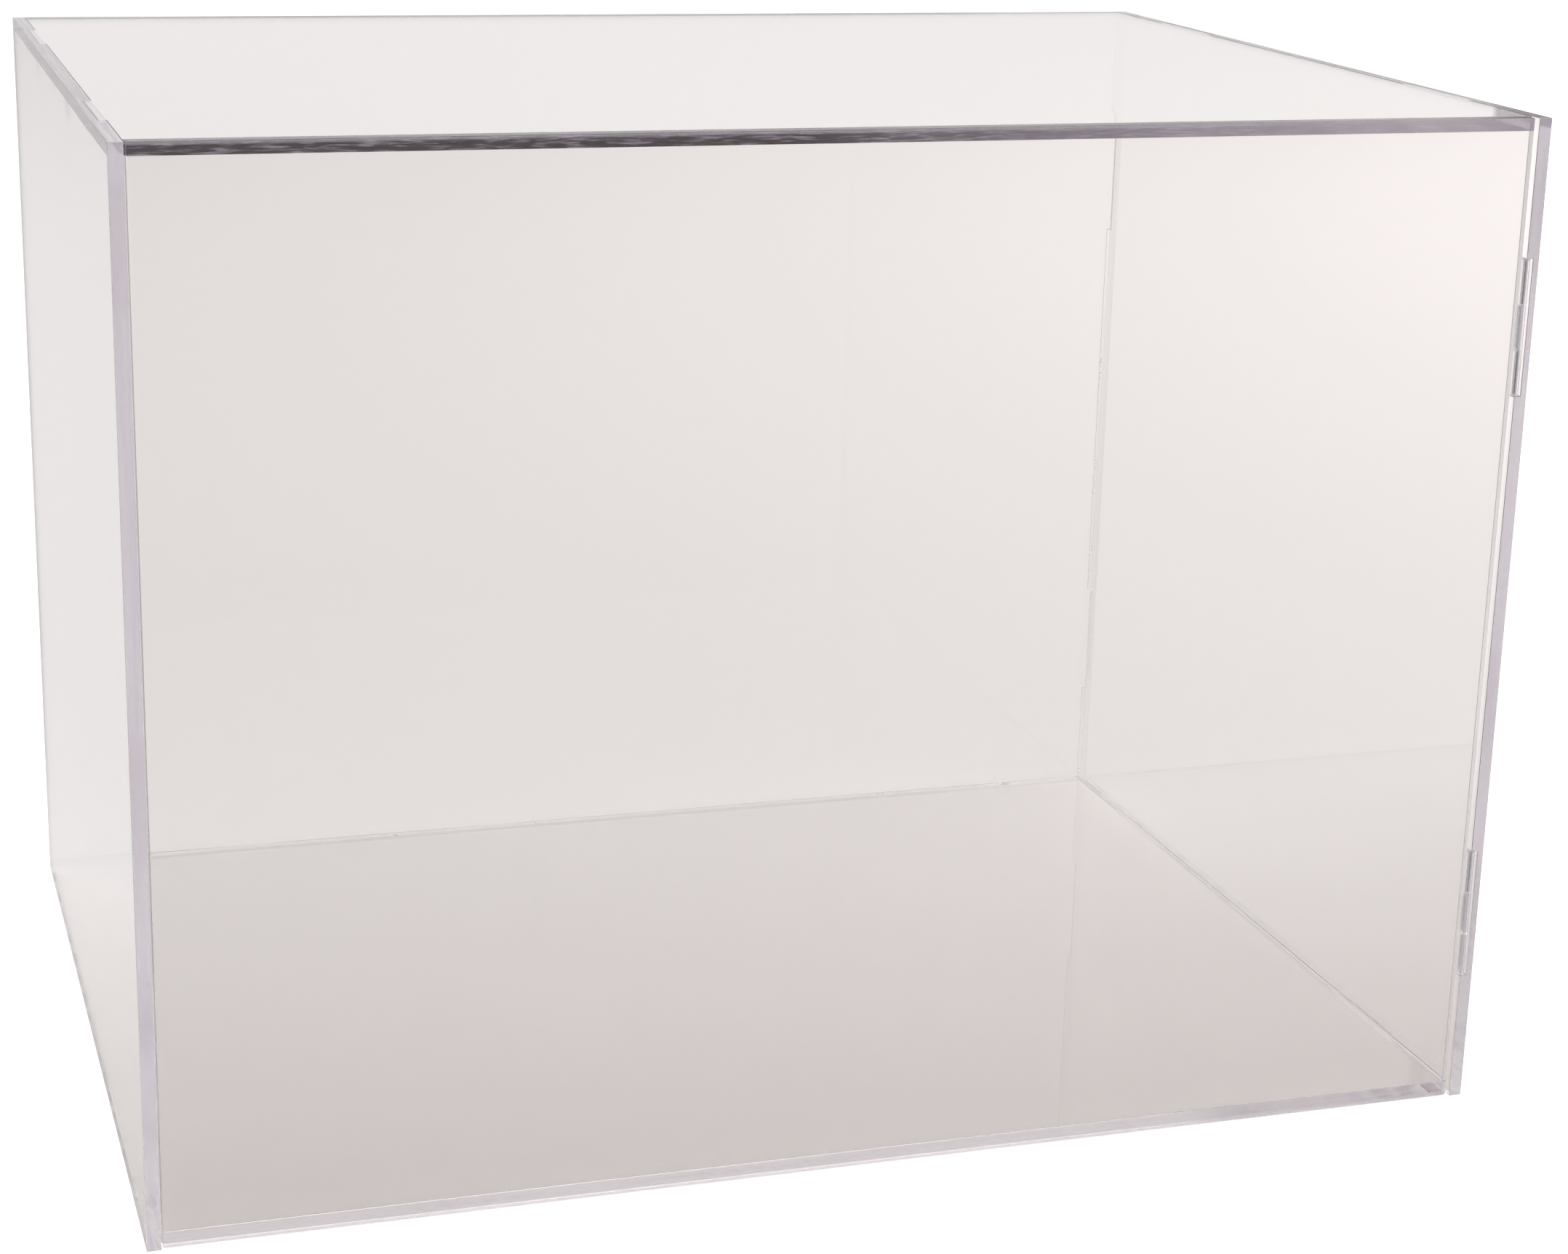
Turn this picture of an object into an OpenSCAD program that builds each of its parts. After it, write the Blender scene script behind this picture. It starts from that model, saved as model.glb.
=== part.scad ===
// Clear display case for a full-size football helmet, in millimetres.
// Five acrylic sheets are cemented into a box that is open at the front, and a sixth sheet
// is the door, on two small clear hinges let into the right side panel's front edge.
// +X is right, +Y is back and +Z is up. The origin is the middle of the underside.

/* [Case] */
// Outside width, left to right
case_w = 400; // [300:1:600]
// Outside depth, front to back
case_d = 300; // [240:1:500]
// Outside height
case_h = 300; // [240:1:500]
// Thickness of every sheet
sheet_t = 4; // [3.2:0.1:6]
// Thickness of the cement between two fixed sheets
cement_t = 0.05; // [0.02:0.01:0.1]

/* [Tabs] */
// Length of each locating tab
tab_len = 40; // [20:1:60]
// Distance from the case's outer corner to the nearest tab
tab_inset = 40; // [20:1:45]
// How far a tab's pocket goes into a side panel
tab_pocket = 2; // [1:0.1:2.4]

/* [Door] */
// Gap between the door's free end and the left side panel
door_side_gap = 0.5; // [0.3:0.1:2]
// Gap between the door's back and the sheets that it closes against
door_seat_gap = 0.3; // [0.3:0.1:1]
// Height of the door's lower end above the surface that the case stands on
door_floor_gap = 0.5; // [0.3:0.1:2]

/* [Hinges] */
// Length of each hinge recess in the right side panel
hinge_len = 40; // [24:1:60]
// Distance from the case's top or underside to the nearest hinge recess
hinge_inset = 40; // [20:1:55]
// How far a hinge recess goes into the right side panel
hinge_recess = 2; // [1.8:0.1:2.4]
// Radius of the knuckles
knuckle_r = 1.1; // [0.9:0.05:1.3]
// Radius of the hinge pin
pin_r = 0.55; // [0.4:0.05:0.6]
// Radial clearance between a pin and its knuckles
pin_clear = 0.03; // [0.01:0.01:0.1]
// Gap kept between hinge faces that move past each other
hinge_gap = 0.3; // [0.3:0.05:0.5]
// How far the knuckles sit behind the case's front face
knuckle_setback = 0.1; // [0:0.05:0.3]
// Thickness of the leaf that is bonded to the door's end
door_leaf_t = 0.7; // [0.5:0.1:1]
// How far that leaf stops short of the door's front face
door_leaf_setback = 0.8; // [0.6:0.1:1.2]
// Thickness of the web from that leaf to its knuckle
door_web_t = 1.2; // [0.8:0.1:1.3]

/* [Hidden] */
$fn = 64;

clear_acrylic = [0.86, 0.90, 0.94, 0.35];
clear_hinge = [0.93, 0.94, 0.96, 0.60];

// The box's main planes
side_x = case_w / 2;
inner_x = side_x - sheet_t;
front_y = -case_d / 2;
back_y = case_d / 2;
door_back_y = front_y + sheet_t;
roof_front_y = door_back_y + door_seat_gap;
roof_back_y = back_y - sheet_t - cement_t;

// Lower or front ends of the two tabs along an edge that spans lo to hi
function tab_starts(lo, hi) = [lo + tab_inset, hi - tab_inset - tab_len];

// Hinge axis: the knuckles turn clear of the recess floor and stay behind the front face
hinge_x = inner_x + hinge_recess - hinge_gap - knuckle_r;
hinge_y = front_y + knuckle_setback + knuckle_r;
leaf_face_x = hinge_x - knuckle_r - hinge_gap;
door_end_x = leaf_face_x - door_leaf_t;
door_left_x = -inner_x + door_side_gap;

lower_hinge_z = hinge_inset;
upper_hinge_z = case_h - hinge_inset - hinge_len;
leaf_len = hinge_len - 2 * hinge_gap;
knuckle_len = (leaf_len - 2 * hinge_gap) / 3;

// A block between two opposite corners
module block(low, high) {
    translate(low) cube(high - low);
}

// Pockets for the top, base and back sheets' tabs, cut into the right side panel's inner face
module tab_pockets() {
    x0 = inner_x - 1;
    x1 = inner_x + tab_pocket;
    for (y = tab_starts(front_y, back_y)) {
        y0 = y - cement_t;
        y1 = y + tab_len + cement_t;
        block([x0, y0, case_h - sheet_t - cement_t], [x1, y1, case_h + 1]);
        block([x0, y0, -1], [x1, y1, sheet_t + cement_t]);
    }
    for (z = tab_starts(0, case_h))
        block([x0, roof_back_y, z - cement_t], [x1, back_y + 1, z + tab_len + cement_t]);
}

// Side panel on the right; the left one is its mirror image without hinge recesses
module side_panel() {
    difference() {
        block([inner_x, front_y, 0], [side_x, back_y, case_h]);
        tab_pockets();
    }
}

module left_panel() {
    color(clear_acrylic) mirror([1, 0, 0]) side_panel();
}

module right_panel() {
    color(clear_acrylic) difference() {
        side_panel();
        for (z = [lower_hinge_z, upper_hinge_z])
            block([inner_x - 1, front_y - 1, z], [inner_x + hinge_recess, door_back_y, z + hinge_len]);
    }
}

// Sheet that lies between the side panels at height z, with two tabs at each end
module level_sheet(z) {
    sheet_x = inner_x - cement_t;
    tab_x = inner_x + tab_pocket - cement_t;
    union() {
        block([-sheet_x, roof_front_y, z], [sheet_x, roof_back_y, z + sheet_t]);
        for (y = tab_starts(front_y, back_y))
            block([-tab_x, y, z], [tab_x, y + tab_len, z + sheet_t]);
    }
}

module top_panel() {
    color(clear_acrylic) level_sheet(case_h - sheet_t);
}

module base_panel() {
    color(clear_acrylic) level_sheet(0);
}

module back_panel() {
    sheet_x = inner_x - cement_t;
    tab_x = inner_x + tab_pocket - cement_t;
    color(clear_acrylic) union() {
        block([-sheet_x, back_y - sheet_t, 0], [sheet_x, back_y, case_h]);
        for (z = tab_starts(0, case_h))
            block([-tab_x, back_y - sheet_t, z], [tab_x, back_y, z + tab_len]);
    }
}

module front_door() {
    color(clear_acrylic) block([door_left_x, front_y, door_floor_gap], [door_end_x, door_back_y, case_h]);
}

// Knuckle number i of three, counted upwards, around the hinge axis of the hinge at height z
module knuckle(z, i) {
    translate([hinge_x, hinge_y, z + hinge_gap + i * (knuckle_len + hinge_gap)])
        cylinder(r = knuckle_r, h = knuckle_len);
}

// Hole for the pin, through all three knuckles of the hinge at height z
module pin_hole(z) {
    translate([hinge_x, hinge_y, z - 1]) cylinder(r = pin_r + pin_clear, h = hinge_len + 2);
}

// Leaf in the side panel's recess: a strip behind the knuckles, and the two end knuckles
module side_leaf(z) {
    strip_x0 = inner_x + cement_t;
    strip_x1 = inner_x + hinge_recess - cement_t;
    strip_y0 = hinge_y + knuckle_r + hinge_gap;
    strip_y1 = door_back_y - cement_t;
    z0 = z + hinge_gap;
    color(clear_hinge) difference() {
        union() {
            block([strip_x0, strip_y0, z0], [strip_x1, strip_y1, z0 + leaf_len]);
            for (i = [0, 2]) {
                knuckle(z, i);
                web_z = z0 + i * (knuckle_len + hinge_gap);
                block([strip_x0, hinge_y, web_z], [strip_x1, strip_y0 + cement_t, web_z + knuckle_len]);
            }
        }
        pin_hole(z);
    }
}

// Leaf on the door's end: a thin plate, and the middle knuckle on its web
module door_leaf(z) {
    z0 = z + hinge_gap;
    web_z = z0 + knuckle_len + hinge_gap;
    color(clear_hinge) difference() {
        union() {
            block([door_end_x + cement_t, front_y + door_leaf_setback, z0],
                  [leaf_face_x, door_back_y, z0 + leaf_len]);
            block([leaf_face_x - door_leaf_t / 2, hinge_y - door_web_t / 2, web_z],
                  [hinge_x, hinge_y + door_web_t / 2, web_z + knuckle_len]);
            knuckle(z, 1);
        }
        pin_hole(z);
    }
}

module hinge_pin(z) {
    color(clear_hinge) translate([hinge_x, hinge_y, z + hinge_gap]) cylinder(r = pin_r, h = leaf_len);
}

module upper_hinge_side_leaf() { side_leaf(upper_hinge_z); }
module upper_hinge_door_leaf() { door_leaf(upper_hinge_z); }
module upper_hinge_pin() { hinge_pin(upper_hinge_z); }
module lower_hinge_side_leaf() { side_leaf(lower_hinge_z); }
module lower_hinge_door_leaf() { door_leaf(lower_hinge_z); }
module lower_hinge_pin() { hinge_pin(lower_hinge_z); }

left_panel();
right_panel();
top_panel();
base_panel();
back_panel();
front_door();
upper_hinge_side_leaf();
upper_hinge_door_leaf();
upper_hinge_pin();
lower_hinge_side_leaf();
lower_hinge_door_leaf();
lower_hinge_pin();
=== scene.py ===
"""Looks of the clear acrylic display case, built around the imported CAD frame. Metres, +Z up."""

import math

import bpy
from mathutils import Matrix, Vector


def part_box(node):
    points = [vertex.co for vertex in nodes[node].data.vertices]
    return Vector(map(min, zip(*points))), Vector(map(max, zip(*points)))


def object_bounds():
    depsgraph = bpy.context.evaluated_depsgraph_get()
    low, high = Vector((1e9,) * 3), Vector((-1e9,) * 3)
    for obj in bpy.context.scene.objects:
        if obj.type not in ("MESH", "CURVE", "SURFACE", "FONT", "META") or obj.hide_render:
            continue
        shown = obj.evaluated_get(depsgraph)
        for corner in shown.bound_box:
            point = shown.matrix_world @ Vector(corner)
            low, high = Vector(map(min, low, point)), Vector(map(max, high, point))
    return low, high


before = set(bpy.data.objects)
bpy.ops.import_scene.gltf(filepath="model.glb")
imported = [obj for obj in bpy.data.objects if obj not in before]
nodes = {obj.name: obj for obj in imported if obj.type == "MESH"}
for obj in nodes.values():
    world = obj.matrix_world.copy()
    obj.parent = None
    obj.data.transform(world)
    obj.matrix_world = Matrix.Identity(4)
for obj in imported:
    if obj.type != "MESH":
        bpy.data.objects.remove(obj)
cad_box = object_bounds()

MM = 0.001
X, Y, Z = 0, 1, 2


# ---------------------------------------------------------------- camera
# The photograph's viewpoint: a little left of the case and above its top, looking down.
CAMERA_PLACE = Vector((-0.2756, -0.9289, 0.4082))
CAMERA_LENS_MM = 71.95
CAMERA_SENSOR_MM = 36.0
CAMERA_AZIMUTH = math.radians(17.947)   # turned from +Y towards +X
CAMERA_PITCH = math.radians(-16.533)    # below the horizon
CAMERA_ROLL = math.radians(1.502)
CAMERA_CLIP = (0.01, 50)


def make_camera():
    data = bpy.data.cameras.new("photo_camera")
    data.lens = CAMERA_LENS_MM
    data.sensor_width = CAMERA_SENSOR_MM
    data.clip_start, data.clip_end = CAMERA_CLIP
    camera = bpy.data.objects.new("photo_camera", data)
    bpy.context.scene.collection.objects.link(camera)
    turn = Matrix.Rotation(-CAMERA_AZIMUTH, 4, "Z")
    pitch = Matrix.Rotation(math.pi / 2 + CAMERA_PITCH, 4, "X")
    roll = Matrix.Rotation(CAMERA_ROLL, 4, "Z")
    camera.matrix_world = Matrix.Translation(CAMERA_PLACE) @ turn @ pitch @ roll
    bpy.context.scene.camera = camera


# ---------------------------------------------------------------- sizes read from the frame
def span(name, axis):
    low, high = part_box(name)
    return low[axis], high[axis]


case_low, case_high = (Vector(corner) for corner in cad_box)
mid_z = (case_low.z + case_high.z) / 2
half_h = case_high.z - mid_z
sheet = span("front_door", Y)[1] - span("front_door", Y)[0]
inner_x = case_high.x - sheet               # inner face of a side panel
inner_h = half_h - sheet                    # inner faces of the top and base, from mid_z
tab_x = span("top_panel", X)[1]             # end of a tab in its pocket
seat_y = span("top_panel", Y)[0]            # front ends of the top and base
joint_y = span("back_panel", Y)[0]          # front face of the back panel
back_y = case_high.y


# ---------------------------------------------------------------- node helpers
class Tree:
    """The nodes of a material or a world, with short ways to add and join them."""

    def __init__(self, owner):
        owner.use_nodes = True
        self.nodes = owner.node_tree.nodes
        self.links = owner.node_tree.links

    def add(self, kind, **settings):
        node = self.nodes.new("ShaderNode" + kind)
        for key, value in settings.items():
            setattr(node, key, value)
        return node

    def put(self, value, socket):
        """Sets a socket to a number or a colour of three numbers, or joins it to another socket."""
        if isinstance(value, bpy.types.NodeSocket):
            self.links.new(value, socket)
        elif socket.type == "RGBA":
            socket.default_value = (*value, 1)
        else:
            socket.default_value = value

    def fill(self, node, inputs):
        """Puts each value into the node's input of that name."""
        for name, value in inputs.items():
            self.put(value, node.inputs[name])

    def shader(self, kind, inputs):
        """The output of a new shader node with these inputs."""
        node = self.add(kind)
        self.fill(node, inputs)
        return node.outputs[0]

    def math(self, operation, *values):
        node = self.add("Math", operation=operation)
        for value, socket in zip(values, node.inputs):
            self.put(value, socket)
        return node.outputs[0]

    def within(self, value, low, high):
        """1 where value lies from low to high, else 0."""
        return self.math("COMPARE", value, (low + high) / 2, (high - low) / 2)

    def all_of(self, *masks):
        result = masks[0]
        for mask in masks[1:]:
            result = self.math("MULTIPLY", result, mask)
        return result

    def any_of(self, *masks):
        result = masks[0]
        for mask in masks[1:]:
            result = self.math("MAXIMUM", result, mask)
        return result

    def mix(self, factor, first, second):
        """A shader: first where factor is 0, second where it is 1."""
        node = self.add("MixShader")
        for value, socket in zip((factor, first, second), node.inputs):
            self.put(value, socket)
        return node.outputs[0]

    def blend(self, factor, first, second):
        """A colour: first where factor is 0, second where it is 1."""
        node = self.add("Mix", data_type="RGBA")
        used = [socket for socket in node.inputs if socket.enabled]
        for value, socket in zip((factor, first, second), used):
            self.put(value, socket)
        return [socket for socket in node.outputs if socket.enabled][0]

    def place(self, scale=(1, 1, 1)):
        """The piece's own coordinates, in metres, stretched by scale."""
        node = self.add("Mapping", vector_type="POINT")
        own = self.add("TexCoord").outputs["Object"]
        self.fill(node, {"Vector": own, "Scale": scale})
        return node.outputs[0]

    def noise(self, vector, scale, detail=3.0, roughness=0.6):
        """Soft noise, which stays mostly between 0.3 and 0.7."""
        node = self.add("TexNoise")
        self.fill(node, {"Vector": vector, "Scale": scale, "Detail": detail, "Roughness": roughness})
        return node.outputs["Fac"]

    def remap(self, value, source, target):
        """Carries value from the range source to the range target, and holds it at the ends."""
        node = self.add("MapRange")
        for number, socket in zip((value, *source, *target), node.inputs):
            self.put(number, socket)
        return node.outputs[0]

    def split(self, vector):
        """The three parts of a vector, by axis number."""
        node = self.add("SeparateXYZ")
        self.put(vector, node.inputs[0])
        return node.outputs


# ---------------------------------------------------------------- materials
ACRYLIC_IOR = 1.49
SHEET_TINT = (0.950, 0.938, 0.935)
SHEET_ABSORB = (0.660, 0.605, 0.700)
# Absorption per metre: barely seen through a face, but it shades the long way through an edge
SIDE_DENSITY = 2.0
UPRIGHT_DENSITY = 2.5
TOP_DENSITY = 5.5
BASE_DENSITY = 0.4
LAMP_SHARE = 0.90            # light from a lamp that passes one face of a sheet
END_SLOPE = 0.6              # a face whose normal has less than this along the sheet's axis is a cut end

SAWN_TINT = (0.84, 0.82, 0.85)       # along the saw marks on a cut end
BASE_END_LIGHTER_TINT = (0.98, 0.96, 0.98)     # painted light: the same on the base, tinted lighter than on the other sheets
SAW_MARK_SCALE = 17
SAW_MARK_STRETCH = 70                # how many times finer the marks are across the sheet
TINTED_MARKS = (0.40, 0.62)          # noise levels between which the tint fades in
ROUGH_MARKS = (0.35, 0.65)
END_ROUGHNESS = (0.14, 0.24)
WIPE_SCALE = 9
WIPE_STRETCH = (1, 1, 0.35)
WIPE_MARKS = (0.45, 0.80)
FACE_ROUGHNESS = (0.0, 0.008)


def new_material(name):
    material = bpy.data.materials.new(name)
    return material, Tree(material)


def clear_surface(tree, inputs, absorb, density):
    """Fills in the Principled BSDF as clear plastic. Its output lets the lamps' light pass."""
    solid = tree.nodes["Principled BSDF"]
    tree.fill(solid, {"Transmission Weight": 1, "IOR": ACRYLIC_IOR, **inputs})
    volume = tree.shader("VolumeAbsorption", {"Color": absorb, "Density": density})
    tree.put(volume, tree.nodes["Material Output"].inputs["Volume"])
    lamp = tree.shader("BsdfTransparent", {"Color": (LAMP_SHARE, LAMP_SHARE, LAMP_SHARE)})
    return tree.mix(tree.add("LightPath").outputs["Is Shadow Ray"], solid.outputs[0], lamp)


def clear_sheet(name, facing, density, end_tint=SAWN_TINT, shaded_saw_front=False):
    """Clear acrylic sheet whose two faces look along axis number facing, and whose ends are cut."""
    material, tree = new_material(name)
    x, y, z = tree.split(tree.place())
    normal = tree.split(tree.add("TexCoord").outputs["Normal"])
    cut_end = tree.math("LESS_THAN", tree.math("ABSOLUTE", normal[facing]), END_SLOPE)
    across = [1, 1, 1]
    across[facing] = SAW_MARK_STRETCH
    saw_marks = tree.noise(tree.place(across), SAW_MARK_SCALE)
    dull = tree.all_of(cut_end, tree.remap(saw_marks, TINTED_MARKS, (0.0, 1.0)))
    wipe = tree.noise(tree.place(WIPE_STRETCH), WIPE_SCALE, detail=4.0)
    face_rough = tree.remap(wipe, WIPE_MARKS, FACE_ROUGHNESS)
    if facing != Z:
        face_rough = tree.math("ADD", face_rough, glue_haze(tree, z))
    end_rough = tree.remap(saw_marks, ROUGH_MARKS, END_ROUGHNESS)
    spare = tree.math("SUBTRACT", end_rough, face_rough)
    finish = {
        "Base Color": tree.blend(dull, SHEET_TINT, end_tint),
        "Roughness": tree.math("MULTIPLY_ADD", cut_end, spare, face_rough),
    }
    shader = clear_surface(tree, finish, SHEET_ABSORB, density)
    # painted shade on the top's cut end behind the door
    if shaded_saw_front:
        shader = add_saw_cut_and_shade(tree, shader, x, y, z)
    shader = add_joints(tree, shader, x, y, z)
    tree.put(shader, tree.nodes["Material Output"].inputs["Surface"])
    return material


GLUE_RUN = 9 * MM                    # how far the solvent ran down from a joint
HAZE_SCALE = 60
HAZE_STRETCH = (1, 1, 0.5)
HAZE_PATCHES = (0.55, 0.66)
HAZE_ROUGHNESS = (0.0, 0.09)


def glue_haze(tree, z):
    """Roughness of the faint runs of solvent beside the top and bottom joints."""
    az = tree.math("ABSOLUTE", tree.math("SUBTRACT", z, mid_z))
    near = tree.remap(az, (inner_h - GLUE_RUN, inner_h), (0.0, 1.0))
    patches = tree.noise(tree.place(HAZE_STRETCH), HAZE_SCALE)
    return tree.all_of(near, tree.remap(patches, HAZE_PATCHES, HAZE_ROUGHNESS))


ARRIS = 0.2 * MM                     # width of the rounded edge on every sheet
BOND = 0.12 * MM                     # how far past a cemented face its clear zone goes
FACE_TO_FACE = BOND / 4              # the same at a face that other faces lie close to
CORNER_LINE = 0.22 * MM              # width of the painted shade line in an inside corner
CORNER_LINE_SCALE = 14
CORNER_LINE_PATCHES = (0.38, 0.62)
CORNER_LINE_COVER = (0.10, 0.75)
# grey of the painted shade line in the inside corners
CORNER_SHADE_COLOUR = (0.36, 0.34, 0.35)
DRY_EDGE = 0.25 * MM                 # widest strip that the cement didn't reach in a back corner
DRY_EDGE_SCALE = 45
DRY_EDGE_PATCHES = (0.47, 0.65)
BUBBLE_CELLS = 700                   # per metre
BUBBLE_SIZE = (0.0, 0.42)            # radius, as a share of a cell
BUBBLE_PATCHES = (0.50, 0.70)
DRY_LEVEL = 0.69                     # noise level past which the cement has a dry patch
GAP_SCALE = 70


def add_joints(tree, shader, x, y, z):
    """Hides the cemented faces, but for bubbles and dry patches, and paints a shade line along the inside
    corners.
    """
    ax = tree.math("ABSOLUTE", x)
    az = tree.math("ABSOLUTE", tree.math("SUBTRACT", z, mid_z))
    wet = tree.math("SUBTRACT", 1, gaps_in_cement(tree))
    cement = tree.shader("BsdfTransparent", {})
    shader = tree.mix(tree.all_of(bonded(tree, ax, y, az), wet), shader, cement)
    # painted shade: a grey diffuse line along the inside corners
    painted_corner_shade = tree.shader("BsdfDiffuse", {"Color": CORNER_SHADE_COLOUR})
    return tree.mix(corner_shade_line(tree, ax, y, az), shader, painted_corner_shade)


def at_back_joint(tree, ax, y):
    """1 at the back panel's front face, between the side panels."""
    near = tree.within(y, joint_y - ARRIS - BOND, joint_y + FACE_TO_FACE)
    return tree.all_of(near, tree.math("LESS_THAN", ax, inner_x))


def bonded(tree, ax, y, az):
    """1 on the faces that are cemented together, where the clear cement hides the joint.

    ax and az are the distances from the case's middle, to either side and up or down.
    """
    level = tree.within(az, inner_h - FACE_TO_FACE, half_h - ARRIS)
    side = tree.within(ax, inner_x - BOND, tab_x + BOND)
    side_and_arris = tree.within(ax, inner_x - ARRIS - BOND, tab_x + BOND)
    along = tree.within(y, seat_y + ARRIS, back_y - ARRIS)
    level_ends = tree.all_of(level, side_and_arris, along)
    dry = tree.noise(tree.place(), DRY_EDGE_SCALE, detail=2.0, roughness=0.5)
    dry_edge = tree.remap(dry, DRY_EDGE_PATCHES, (0.0, DRY_EDGE))
    past_dry_edge = tree.math("GREATER_THAN", y, tree.math("ADD", joint_y, dry_edge))
    before_arris = tree.math("LESS_THAN", y, back_y - ARRIS)
    below_arris = tree.math("LESS_THAN", az, half_h - ARRIS)
    upright_ends = tree.all_of(side, past_dry_edge, before_arris, below_arris)
    level_backs = tree.all_of(at_back_joint(tree, ax, y), level)
    return tree.any_of(level_ends, upright_ends, level_backs)


def corner_shade_line(tree, ax, y, az):
    """How grey the fine painted shade line is, along the inside corners, where the seam looks darker."""
    line = tree.within(az, inner_h - FACE_TO_FACE, inner_h + CORNER_LINE)
    along = tree.within(y, seat_y + ARRIS, joint_y + FACE_TO_FACE)
    side = tree.within(ax, inner_x - ARRIS - BOND, inner_x + BOND)
    corners = tree.any_of(side, at_back_joint(tree, ax, y))
    cover = tree.noise(tree.place(), CORNER_LINE_SCALE)
    return tree.all_of(line, along, corners, tree.remap(cover, CORNER_LINE_PATCHES, CORNER_LINE_COVER))


def gaps_in_cement(tree):
    """1 where an air bubble or a dry patch is left in the cement."""
    cells = tree.add("TexVoronoi", feature="F1")
    tree.fill(cells, {"Vector": tree.place(), "Scale": BUBBLE_CELLS})
    spread = tree.noise(tree.place(), GAP_SCALE)
    size = tree.remap(spread, BUBBLE_PATCHES, BUBBLE_SIZE)
    bubble = tree.math("LESS_THAN", cells.outputs["Distance"], size)
    return tree.any_of(bubble, tree.math("GREATER_THAN", spread, DRY_LEVEL))


# Painted shade: the top's cut end behind the door is coloured near black, darkest low down and at the left,
# with pale dashes along the saw marks
CUT_SHADE_DARK = (0.052, 0.036, 0.052)
CUT_PALE = (0.27, 0.25, 0.30)
CUT_ROUGHNESS = 0.45
CUT_DASH_SCALE = 160
CUT_DASH_STRETCH = (1, 1, 12)
CUT_PALE_DASHES = (0.50, 0.66)
CUT_THIN_DASHES = (0.50, 0.72)
CUT_THIN_COVER = (1.0, 0.55)
CUT_FADE = (-0.1, 0.75)              # painted shade fading along the front, as shares of the way to a side panel
CUT_FADE_COVER = (1.0, 0.15)
CUT_UPPER = (0.4, 0.2)               # upper edge of the painted shade, as shares of the sheet below the top face
CUT_UPPER_COVER = (1.0, 0.4)


def add_saw_cut_and_shade(tree, shader, x, y, z):
    """The raw saw cut on the end behind the door, with painted shade: near black with pale dashes, most low
    down and at the left.
    """
    dashes = tree.noise(tree.place(CUT_DASH_STRETCH), CUT_DASH_SCALE)
    pale = tree.remap(dashes, CUT_PALE_DASHES, (0.0, 1.0))
    finish = {"Base Color": tree.blend(pale, CUT_SHADE_DARK, CUT_PALE), "Roughness": CUT_ROUGHNESS}
    front = tree.math("LESS_THAN", y, seat_y + BOND)
    # the painted shade fades towards the right and towards the top face
    fade = tree.remap(x, [share * inner_x for share in CUT_FADE], CUT_FADE_COVER)
    low = tree.remap(z, [case_high.z - share * sheet for share in CUT_UPPER], CUT_UPPER_COVER)
    thin = tree.remap(dashes, CUT_THIN_DASHES, CUT_THIN_COVER)
    return tree.mix(tree.all_of(front, fade, low, thin), shader, tree.shader("BsdfPrincipled", finish))


HINGE_TINT = (0.97, 0.97, 0.98)
HINGE_ABSORB = (0.80, 0.80, 0.85)
HINGE_DENSITY = 5.0
HINGE_LINE_SCALE = 3000
HINGE_LINE_STRETCH = (1, 1, 0.02)
HINGE_LINES = (0.35, 0.65)
HINGE_ROUGHNESS = (0.03, 0.16)


def hinge_plastic():
    """Clear moulded plastic, slightly hazy, with fine lines along its length."""
    material, tree = new_material("clear_hinge")
    lines = tree.noise(tree.place(HINGE_LINE_STRETCH), HINGE_LINE_SCALE, detail=2.0, roughness=0.5)
    finish = {
        "Base Color": HINGE_TINT,
        "Roughness": tree.remap(lines, HINGE_LINES, HINGE_ROUGHNESS),
    }
    shader = clear_surface(tree, finish, HINGE_ABSORB, HINGE_DENSITY)
    tree.put(shader, tree.nodes["Material Output"].inputs["Surface"])
    return material


HINGE_ARRIS = 0.08 * MM
WELD_REACH = 0.001 * MM
FLAT_ANGLE = math.radians(1)         # faces that meet at less than this are one flat
ARRIS_ANGLE = math.radians(40)       # edges sharper than this get an arris
ARRIS_SEGMENTS = 2
LARGEST_FACE = 100                   # an arris takes its shading at each side from the flat there


def dress(name, material):
    """Gives a CAD node its material and fine rounded arrises."""
    piece = nodes[name]
    piece.data.materials.clear()
    piece.data.materials.append(material)
    weld = piece.modifiers.new("weld", "WELD")
    weld.merge_threshold = WELD_REACH
    join = piece.modifiers.new("join_flats", "DECIMATE")
    join.decimate_type = "DISSOLVE"
    join.angle_limit = FLAT_ANGLE
    arris = piece.modifiers.new("arris", "BEVEL")
    arris.width = HINGE_ARRIS if "hinge" in name else ARRIS
    arris.segments = ARRIS_SEGMENTS
    arris.limit_method = "ANGLE"
    arris.angle_limit = ARRIS_ANGLE
    flat = piece.modifiers.new("flat_faces", "WEIGHTED_NORMAL")
    flat.mode = "FACE_AREA"
    flat.weight = LARGEST_FACE


# ---------------------------------------------------------------- stage
FLOOR_RADIUS = 8.0
FLOOR_SIDES = 64
FLOOR_DROP = 0.3 * MM                        # air under the case
FLOOR_DIRECT = (1.0, 1.0, 1.0)               # burnt out to white, as a product cut-out is
FLOOR_GLOW = 0.08                            # the same, where the camera sees the floor directly
# The grey of the paper as the clear case shows it: lighter towards the lit backdrop
FLOOR_GREY_FRONT = (0.575, 0.560, 0.555)
FLOOR_GREY_BACK = (0.722, 0.718, 0.716)
FLOOR_FADE = (-0.12, 0.12)                   # from front grey to back grey, along Y
FLOOR_ROUGHNESS = 0.9
FLOOR_SPECULAR = 0.1


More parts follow.
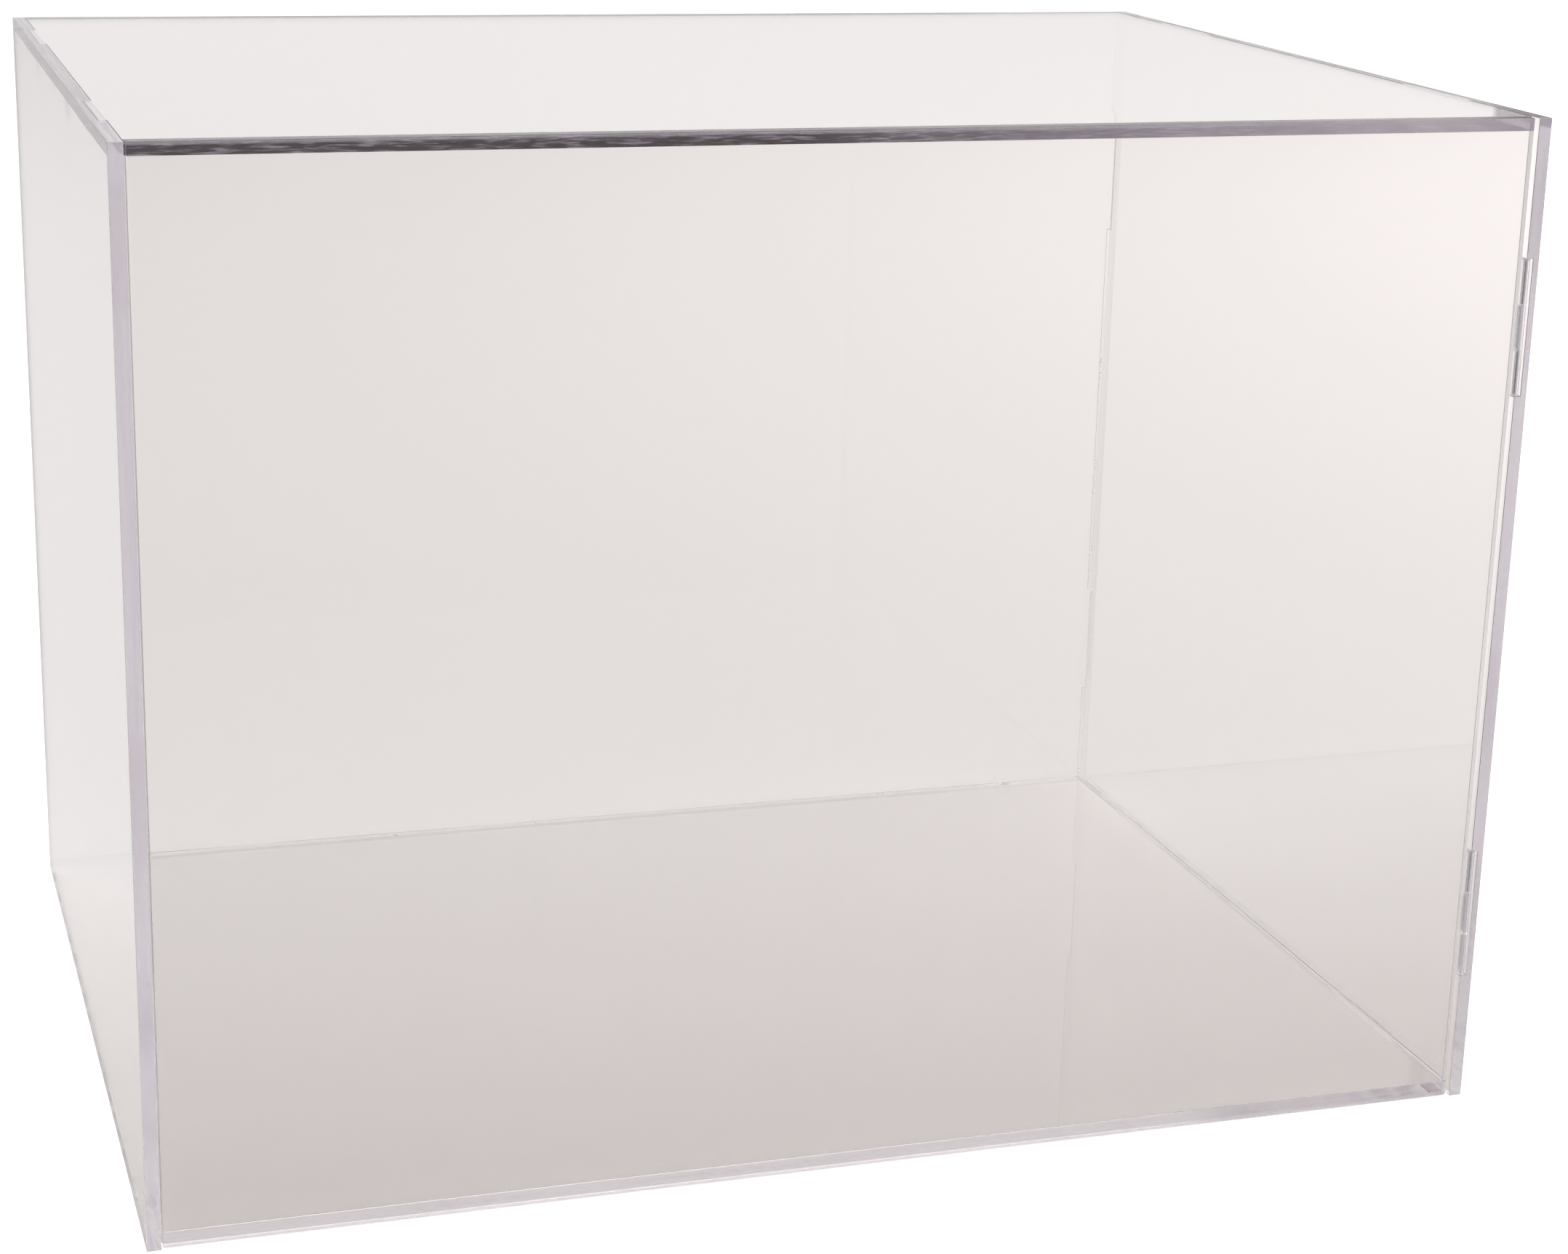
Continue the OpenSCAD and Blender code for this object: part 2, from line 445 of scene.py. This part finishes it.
def make_floor():
    """A wide pale disc just under the case."""
    mesh = bpy.data.meshes.new("floor")
    turns = [math.tau * i / FLOOR_SIDES for i in range(FLOOR_SIDES)]
    rim = [(FLOOR_RADIUS * math.cos(turn), FLOOR_RADIUS * math.sin(turn), 0) for turn in turns]
    mesh.from_pydata(rim, [], [list(range(FLOOR_SIDES))])
    floor = bpy.data.objects.new("floor", mesh)
    bpy.context.scene.collection.objects.link(floor)
    floor.location.z = -FLOOR_DROP
    material, tree = new_material("pale_floor")
    direct = tree.add("LightPath").outputs["Is Camera Ray"]
    depth = tree.remap(tree.split(tree.place())[Y], FLOOR_FADE, (0.0, 1.0))
    grey = tree.blend(depth, FLOOR_GREY_FRONT, FLOOR_GREY_BACK)
    tree.fill(tree.nodes["Principled BSDF"], {
        "Base Color": tree.blend(direct, grey, FLOOR_DIRECT),
        "Roughness": FLOOR_ROUGHNESS,
        "Specular IOR Level": FLOOR_SPECULAR,
        "Emission Color": (1, 1, 1),
        "Emission Strength": tree.math("MULTIPLY", direct, FLOOR_GLOW),
    })
    mesh.materials.append(material)


# Studio surroundings by height: (sine of the elevation, brightness, colour)
SURROUNDINGS = [
    (0.00, 0.95, (1.00, 0.985, 0.975)),
    (0.16, 0.90, (1.00, 0.980, 0.970)),
    (0.36, 0.68, (1.00, 0.960, 0.970)),
    (0.70, 0.56, (1.00, 0.950, 0.970)),
    (1.00, 0.50, (1.00, 0.950, 0.970)),
]
# Turned from +Y towards +X: where the backdrop stops, and where the room brightens again
BACKDROP_EDGE = (math.radians(30.35), math.radians(30.45))
ROOM_EDGE = (math.radians(80), math.radians(100))
ROOM_PAST_BACKDROP = 0.35                    # share of the brightness that is left in between


def make_world():
    world = bpy.data.worlds.new("studio")
    tree = Tree(world)
    x, y, z = tree.split(tree.add("TexCoord").outputs["Generated"])
    ramp = tree.add("ValToRGB")
    stops = ramp.color_ramp.elements
    while len(stops) < len(SURROUNDINGS):
        stops.new(1)
    for stop, (height, brightness, colour) in zip(stops, SURROUNDINGS):
        stop.position = height
        stop.color = (*(brightness * part for part in colour), 1)
    tree.put(z, ramp.inputs[0])
    turn = tree.math("ARCTAN2", x, y)
    backdrop = tree.remap(turn, BACKDROP_EDGE, (1.0, ROOM_PAST_BACKDROP))
    room = tree.remap(turn, ROOM_EDGE, (0.0, 1.0))
    tree.fill(tree.nodes["Background"], {"Color": ramp.outputs[0], "Strength": tree.any_of(backdrop, room)})
    bpy.context.scene.world = world


BOX_PLACE = Vector((2.6, 0.9, 1.7))
BOX_TARGET = Vector((0.9, 0.9, 0.0))
BOX_SIZE = 1.6
BOX_WATTS = 60
BOX_COLOUR = (1.0, 0.965, 0.925)
SUN_AZIMUTH = 200                            # degrees, turned from +Y towards +X
SUN_ELEVATION = 60                           # degrees
SUN_SPREAD = 50                              # degrees across
SUN_STRENGTH = 1.40


def add_lamp(name, kind):
    data = bpy.data.lights.new(name, kind)
    lamp = bpy.data.objects.new(name, data)
    bpy.context.scene.collection.objects.link(lamp)
    return lamp, data


def make_lights():
    """A wide soft light from above the front, and a warm soft box at the right and behind."""
    sun, data = add_lamp("overhead_soft_light", "SUN")
    data.energy = SUN_STRENGTH
    data.angle = math.radians(SUN_SPREAD)
    sun.rotation_euler = (math.radians(90 - SUN_ELEVATION), 0, math.radians(-SUN_AZIMUTH))
    box, data = add_lamp("right_soft_box", "AREA")
    data.color = BOX_COLOUR
    data.size = BOX_SIZE
    data.energy = BOX_WATTS
    box.location = BOX_PLACE
    box.rotation_euler = (BOX_TARGET - BOX_PLACE).to_track_quat("-Z", "Y").to_euler()


# ---------------------------------------------------------------- build
MAX_BOUNCES = 48                             # enough for the long way through an edge

make_camera()
side_sheet = clear_sheet("clear_acrylic_side", X, SIDE_DENSITY)
upright_sheet = clear_sheet("clear_acrylic_upright", Y, UPRIGHT_DENSITY)
top_sheet = clear_sheet("clear_acrylic_top", Z, TOP_DENSITY, shaded_saw_front=True)
base_sheet = clear_sheet("clear_acrylic_base", Z, BASE_DENSITY, end_tint=BASE_END_LIGHTER_TINT)
clear_plastic = hinge_plastic()
SHEETS = {
    "left_panel": side_sheet,
    "right_panel": side_sheet,
    "back_panel": upright_sheet,
    "front_door": upright_sheet,
    "top_panel": top_sheet,
    "base_panel": base_sheet,
}
for name in nodes:
    dress(name, SHEETS.get(name, clear_plastic))
make_floor()
make_world()
make_lights()

scene = bpy.context.scene
scene.view_settings.view_transform = "Standard"
scene.cycles.max_bounces = MAX_BOUNCES
scene.cycles.transmission_bounces = MAX_BOUNCES
scene.cycles.glossy_bounces = MAX_BOUNCES
scene.cycles.transparent_max_bounces = MAX_BOUNCES
